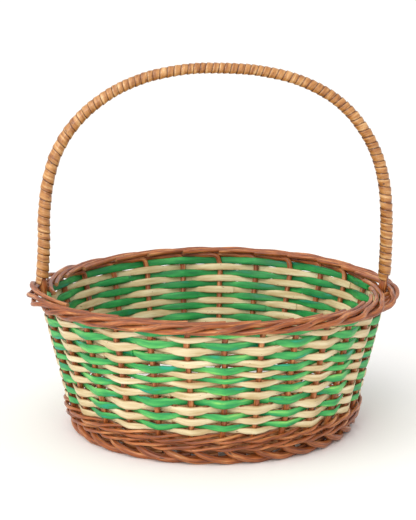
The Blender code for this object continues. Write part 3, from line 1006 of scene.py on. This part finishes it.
# ---- bow handle -------------------------------------------------------------------------------------
@dataclass
class Handle:
    """A bent willow bow whose pointed ends run down into the weave, wound with flat cane."""

    wall: Wall
    half_span: float = 140.8 * MM
    half_span_left: float = 137.2 * MM
    spring: float = 152.5 * MM
    rise: float = 140.2 * MM
    power_x: float = 2.2
    power_z: float = 2.75
    shift: float = 3.5 * MM
    shift_power: float = 1.5
    bow_points: int = 40
    bow_spread: float = 0.08
    core: float = 3.0 * MM
    neck: float = 2.4 * MM
    tip: float = 1.6 * MM
    core_end: float = 40.0 * MM
    in_weave: tuple[float, float] = (62.0 * MM, 90.0 * MM)
    neck_radius: float = 138.2 * MM
    neck_heights: tuple[float, float] = (107.5 * MM, 114.5 * MM)
    neck_lean: float = 0.3 * MM
    neck_swell: float = 1.4
    full_radius: float = 140.0 * MM
    full_rise: float = 4.0 * MM
    core_step: float = 3.0 * MM
    core_pattern: float = 81.0
    wrap_end: float = 119.7 * MM
    wrap_end_radius: float = 139.5 * MM
    wrap_radius: float = 5.6 * MM
    top_thinner: float = 0.85 * MM
    cane_thickness: float = 0.9 * MM
    lap: float = 1.1
    pitch: float = 5.1 * MM
    wider_on_legs: float = 1.2 * MM
    wider_on_shoulder: float = 2.8 * MM
    shoulder_place: float = 0.2
    shoulder_reach: float = 0.09
    stray: float = 0.16
    seed: int = 77
    path_step: float = 1.0 * MM
    steps_per_turn: int = 20
    squareness: float = 2.8
    sides: int = 10

    def bow_point(self, share: float) -> Vector:
        """Return a point of the bow, from the left springing (0) over the top to the right one (1)."""
        turn = math.pi * (1.0 - share)
        across = math.copysign(abs(math.cos(turn)) ** (2.0 / self.power_x), math.cos(turn))
        rise = abs(math.sin(turn)) ** (2.0 / self.power_z)
        half_span = self.half_span if across > 0.0 else self.half_span_left
        shifted = half_span * across + self.shift * rise ** self.shift_power
        return Vector((shifted, 0.0, self.spring + self.rise * rise))

    def bow(self) -> list[Vector]:
        """Return points of the bow, spread evenly enough for a smooth line."""
        points = []
        for i in range(self.bow_points + 1):
            share = i / self.bow_points
            points.append(self.bow_point(share - self.bow_spread * math.sin(2.0 * math.pi * share) / math.pi))
        return points

    def leg(self, angle: float) -> list[tuple[Vector, float]]:
        """Return one leg's knots with their radii, from its pointed end up to the springing."""
        low = [(self.wall.point(angle, self.core_end, 0.0), self.tip)]
        low += [(self.wall.point(angle, up, 0.0), self.neck) for up in self.in_weave]
        under, over = self.neck_heights
        neck = [(polar(angle, self.neck_radius, under), self.neck),
                (polar(angle, self.neck_radius + self.neck_lean, over), self.neck * self.neck_swell)]
        return low + neck + [(polar(angle, self.full_radius, self.wrap_end + self.full_rise), self.core)]

    def core_line(self) -> list[Vector]:
        """Lay the bow's line from its left point to its right one."""
        left = self.leg(math.pi)
        right = self.leg(0.0)
        bow = [(point, self.core) for point in self.bow()]
        knots = [Vector((*hand_drift(point), radius)) for point, radius in left + bow + right[::-1]]
        return smooth_line(knots, self.core_step)

    def winding_pitch(self, share: float) -> float:
        """Return the distance between two windings: close on top, wider on the legs and the left shoulder."""
        from_top = abs(share - 0.5) * 2.0
        shoulder = math.exp(-((share - self.shoulder_place) / self.shoulder_reach) ** 2)
        return self.pitch + self.wider_on_legs * from_top ** 2 + self.wider_on_shoulder * shoulder

    def winding(self) -> list[Station]:
        """Wind the cane: each turn lies on the edge of the one before it.

        Returns:
            The cane's cross-sections from the left leg over the top to the right leg.
        """
        ends = [polar(angle, self.wrap_end_radius, self.wrap_end) for angle in (math.pi, 0.0)]
        path = [ends[0]] + self.bow() + [ends[1]]
        line = smooth_line([Vector((*hand_drift(point), 0.0)) for point in path], self.path_step)
        reach = [0.0]
        for before, after in zip(line, line[1:]):
            reach.append(reach[-1] + (after.xyz - before.xyz).length)
        total = reach[-1]
        dice = random.Random(self.seed)
        stations = []
        place, turn, along, index = 0.0, 0.0, 0.0, 0
        stray, next_stray = 1.0, 1.0
        while True:
            share = place / total
            if int(turn) != int(turn - 1.0 / self.steps_per_turn):
                stray, next_stray = next_stray, 1.0 + dice.uniform(-self.stray, self.stray)
            pitch = self.winding_pitch(share) * (stray + (next_stray - stray) * (turn % 1.0))
            if place > total - pitch * 0.5:
                return stations
            while reach[index + 1] < place:
                index += 1
            part = (place - reach[index]) / (reach[index + 1] - reach[index])
            centre = line[index].xyz.lerp(line[index + 1].xyz, part)
            heading = (line[index + 1].xyz - line[index].xyz).normalized()
            stations.append(self.winding_station(centre, heading, share, turn, pitch, along))
            place += pitch / self.steps_per_turn
            turn += 1.0 / self.steps_per_turn
            along += math.hypot(2.0 * math.pi * self.wrap_radius, pitch) / self.steps_per_turn

    def winding_station(self, centre: Vector, heading: Vector, share: float, turn: float, pitch: float,
                        along: float) -> Station:
        """Place one cross-section of the cane on the bow.

        Args:
            centre: The bow's centre there.
            heading: The bow's direction there.
            share: Share of the bow's length.
            turn: Turns wound so far.
            pitch: Distance between windings.
            along: Length of cane used so far.

        Returns:
            The cross-section.
        """
        front = to_front(centre)
        outer = front.cross(heading).normalized()
        if outer.dot(centre - Vector((0.0, 0.0, self.spring))) < 0.0:
            outer.negate()
        angle = 2.0 * math.pi * turn
        facing = front * math.cos(angle) + outer * math.sin(angle)
        round_way = outer * math.cos(angle) - front * math.sin(angle)
        width = pitch * self.lap
        lean = self.cane_thickness / width
        outside = self.wrap_radius - self.top_thinner * math.sin(math.pi * share) ** 2
        radius = outside - self.cane_thickness * 0.5 - lean * width * 0.5
        run = (round_way * 2.0 * math.pi * radius + heading * pitch).normalized()
        widthwise = (heading - run * heading.dot(run)).normalized()
        lifted = (facing + widthwise * lean).normalized()
        lying = (widthwise - facing * lean).normalized()
        return Station(centre + facing * radius, lifted, lying, self.cane_thickness / 2.0, width / 2.0, along)

    def build(self, bark: bpy.types.Material, wood: bpy.types.Material, cane: bpy.types.Material) -> None:
        """Make the bow and its winding.

        Args:
            bark: The bow's outside.
            wood: The bow's pointed ends.
            cane: The winding's material.
        """
        skin = Skin()
        skin.sweep(rod_stations(self.core_line(), to_front, self.core_pattern), self.sides)
        place_piece(skin.finish("handle_bow", bark, wood), "handle_core")
        skin = Skin()
        skin.sweep(self.winding(), self.sides, self.squareness)
        place_piece(skin.finish("handle_cane_winding", cane, cane), "handle_wrap")


# ---- woven base -------------------------------------------------------------------------------------
@dataclass
class Base:
    """A round base: two groups of sticks crossed, opened out like spokes and woven close with thin rods."""

    height: float = 10.2 * MM
    stick: float = 2.2 * MM
    stick_end: float = 112.0 * MM
    spacing: float = 5.5 * MM
    layer: float = 2.35 * MM
    lower: int = 4
    upper: int = 3
    cross_half: float = 14.0 * MM
    fan: float = 28.0 * MM
    turn: float = math.radians(-6.0)
    weaver: float = 1.35 * MM
    weaver_out: float = 3.6 * MM
    weaver_first: float = 27.0 * MM
    weaver_last: float = 108.0 * MM
    round_pitch: float = 5.7 * MM
    ties: int = 4
    tie_first: float = 1.7 * MM
    tie_pitch: float = 3.1 * MM
    tie_lifts: tuple[float, float] = (-0.9, 1.0)
    tie_knots: int = 48
    tie_start: float = 0.8
    tie_steepness: float = 2.2
    tie_step: float = 1.5 * MM
    step: float = 3.0 * MM
    stick_pattern: tuple[float, float] = (90.0, 1.9)
    weaver_pattern: tuple[float, float] = (120.0, 5.1)
    tie_pattern: tuple[float, float] = (140.0, 2.3)
    sides: int = 8

    @property
    def spokes(self) -> int:
        """Return how many spokes the opened sticks make."""
        return 2 * (self.lower + self.upper)

    def stick_line(self, lane: int, lanes: int, layer: float, heading: float) -> list[Vector]:
        """Lay one stick from spoke to spoke.

        Args:
            lane: The stick's number in its group.
            lanes: How many sticks the group has.
            layer: The group's height at the cross.
            heading: The group's angle.

        Returns:
            Points of four components, the last of them the radius.
        """
        side = (lane - (lanes - 1) / 2.0) * self.spacing
        fan = (lane - (lanes - 1) / 2.0) * 2.0 * math.pi / self.spokes
        half = [
            (self.cross_half * 0.5, side, self.height + layer),
            (self.cross_half, side, self.height + layer),
            (self.fan * math.cos(fan), self.fan * math.sin(fan), self.height),
            (self.stick_end * 0.6 * math.cos(fan), self.stick_end * 0.6 * math.sin(fan), self.height),
            (self.stick_end * math.cos(fan), self.stick_end * math.sin(fan), self.height),
        ]
        across = [(-x, y, z) for x, y, z in reversed(half)] + half
        cosine, sine = math.cos(heading), math.sin(heading)
        knots = [Vector((x * cosine - y * sine, x * sine + y * cosine, z, self.stick)) for x, y, z in across]
        return smooth_line(knots, self.step)

    def tie_line(self, ring: int) -> list[Vector]:
        """Lay one round that ties the cross: over one group of sticks and under the other."""
        radius = self.cross_half + self.tie_first + self.tie_pitch * ring
        easing = 1.0 - (radius - self.cross_half) / (self.fan - self.cross_half)
        lift = self.stick + self.weaver + self.layer * easing * self.tie_lifts[ring % 2]
        side = -1.0 if ring % 2 else 1.0
        knots = []
        for step in range(self.tie_knots + 1):
            angle = 2.0 * math.pi * step / self.tie_knots + self.tie_start
            wave = math.cos(2.0 * (angle - self.turn))
            over = math.copysign(min(1.0, abs(wave) * self.tie_steepness), wave)
            knots.append(Vector((*polar(angle, radius, self.height + side * lift * over), self.weaver)))
        return smooth_line(knots, self.tie_step)

    def weaver_line(self, rod: int) -> list[Vector]:
        """Lay one of the two weavers that chase each other out to the edge."""
        turn = 2.0 * math.pi / self.spokes
        rounds = (self.weaver_last - self.weaver_first) / self.round_pitch
        knots = []
        for spoke in range(round(rounds * self.spokes) + 1):
            for part in (0.0, 0.5):
                travelled = (spoke + part) / self.spokes
                radius = self.weaver_first + self.round_pitch * (rod / 2.0 + travelled)
                over = 1.0 if (spoke + rod) % 2 else -1.0
                lift = self.weaver_out * over if part == 0.0 else 0.0
                angle = self.turn + turn * (spoke + 0.5 + part)
                knots.append(Vector((*polar(angle, radius, self.height + lift), self.weaver)))
        return smooth_line(knots, self.step)

    def build(self, bark: bpy.types.Material, wood: bpy.types.Material) -> None:
        """Make the base's sticks and weavers of these two materials, outside and cut ends."""
        groups = ((self.lower, -self.layer, self.turn), (self.upper, self.layer, self.turn + math.pi / 2.0))
        number = 0
        for lanes, layer, heading in groups:
            for lane in range(lanes):
                number += 1
                skin = Skin()
                line = self.stick_line(lane, lanes, layer, heading)
                start, step = self.stick_pattern
                skin.sweep(rod_stations(line, straight_up, start + step * number), self.sides)
                piece = skin.finish(f"base_willow_stick_{number}", bark, wood)
                place_piece(piece, f"base_stick_{number}")
        for rod in range(2):
            skin = Skin()
            start, step = self.weaver_pattern
            skin.sweep(rod_stations(self.weaver_line(rod), straight_up, start + step * rod), self.sides)
            start, step = self.tie_pattern
            for ring in range(rod, self.ties, 2):
                skin.sweep(rod_stations(self.tie_line(ring), straight_up, start + step * ring), self.sides)
            piece = skin.finish(f"base_willow_weaver_{rod + 1}", bark, wood)
            place_piece(piece, f"base_weaver_{rod + 1}")


# ---- studio -----------------------------------------------------------------------------------------
@dataclass(frozen=True)
class SoftBox:
    """One large soft light."""

    name: str
    place: tuple[float, float, float]
    size: float
    power: float
    colour: str

    def build(self, aim: Vector) -> None:
        """Hang the light, turned to the point aimed at."""
        light = bpy.data.lights.new(self.name, "AREA")
        light.shape = "SQUARE"
        light.size = self.size
        light.energy = self.power
        light.color = linear_colour(self.colour)[:3]
        holder = bpy.data.objects.new(self.name, light)
        holder.location = self.place
        holder.rotation_euler = (aim - Vector(self.place)).to_track_quat("-Z", "Y").to_euler()
        bpy.context.scene.collection.objects.link(holder)


@dataclass
class Studio:
    """A pale floor, soft light from the upper left and a long lens a little above the rim."""

    eye: tuple[float, float, float] = (0.0, -1.350, 0.4195)
    aim: tuple[float, float, float] = (-0.004, 0.0, 0.1365)
    lens: float = 117.2
    sensor: float = 36.0
    view_end: float = 60.0
    floor_half: float = 12.0
    floor_paint: str = "#f7f6f4"
    sky: float = 0.92
    sky_colour: str = "#fdfdff"
    key: float = 1.4
    key_softness: float = math.radians(62.0)
    key_colour: str = "#fffaf4"
    key_heading: tuple[float, float, float] = (1.1, 1.5, -1.8)
    lit_point: tuple[float, float, float] = (0.0, 0.0, 0.1)

    def floor(self) -> None:
        """Lay the floor."""
        sheet = bmesh.new()
        bmesh.ops.create_grid(sheet, x_segments=1, y_segments=1, size=self.floor_half)
        mesh = bpy.data.meshes.new("studio_floor")
        sheet.to_mesh(mesh)
        sheet.free()
        paint = bpy.data.materials.new("studio_floor_matt_white")
        paint.use_nodes = True
        shader = paint.node_tree.nodes["Principled BSDF"]
        shader.inputs["Base Color"].default_value = linear_colour(self.floor_paint)
        shader.inputs["Roughness"].default_value = 0.9
        shader.inputs["Specular IOR Level"].default_value = 0.1
        mesh.materials.append(paint)
        floor = bpy.data.objects.new("studio_floor", mesh)
        bpy.context.scene.collection.objects.link(floor)

    def light(self) -> None:
        """Light the room evenly, with a soft key from the upper left front."""
        world = bpy.data.worlds.new("studio_daylight")
        world.use_nodes = True
        sky = world.node_tree.nodes["Background"]
        sky.inputs["Color"].default_value = linear_colour(self.sky_colour)
        sky.inputs["Strength"].default_value = self.sky
        bpy.context.scene.world = world
        sun = bpy.data.lights.new("key_daylight", "SUN")
        sun.energy = self.key
        sun.angle = self.key_softness
        sun.color = linear_colour(self.key_colour)[:3]
        key = bpy.data.objects.new("key_daylight", sun)
        key.rotation_euler = Vector(self.key_heading).to_track_quat("-Z", "Y").to_euler()
        bpy.context.scene.collection.objects.link(key)
        front = SoftBox("front_softbox", place=(-0.5, -1.9, 0.9), size=0.7, power=9.0, colour="#fffdf8")
        front.build(Vector(self.lit_point))

    def camera(self) -> None:
        """Set the camera."""
        lens = bpy.data.cameras.new("studio_camera")
        lens.lens = self.lens
        lens.sensor_width = self.sensor
        lens.clip_end = self.view_end
        camera = bpy.data.objects.new("studio_camera", lens)
        camera.location = self.eye
        camera.rotation_euler = (Vector(self.aim) - Vector(self.eye)).to_track_quat("-Z", "Y").to_euler()
        bpy.context.scene.collection.objects.link(camera)
        bpy.context.scene.camera = camera

    def build(self) -> None:
        """Set up floor, light and camera, with colours shown as they are."""
        bpy.context.scene.view_settings.view_transform = "Standard"
        self.floor()
        self.light()
        self.camera()


def main() -> None:
    """Build the basket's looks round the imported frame."""
    logging.basicConfig(level=logging.INFO, format="%(name)s: %(message)s")
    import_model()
    noise.seed_set(DRIFT_SEED)
    willow = BUFFED_WILLOW.build()
    base_willow = BASE_WILLOW.build()
    wood = CUT_WILLOW.build()
    wall = Wall()
    Stakes(wall, Border(wall)).build(willow, wood)
    Weave(wall).build(GREEN_DYED.build(), PLAIN_SPLIT.build())
    Wale(wall).build(willow, wood)
    Handle(wall).build(willow, wood, CANE_SKIN.build())
    Base().build(base_willow, wood)
    Studio().build()


if __name__ == "__main__":
    main()
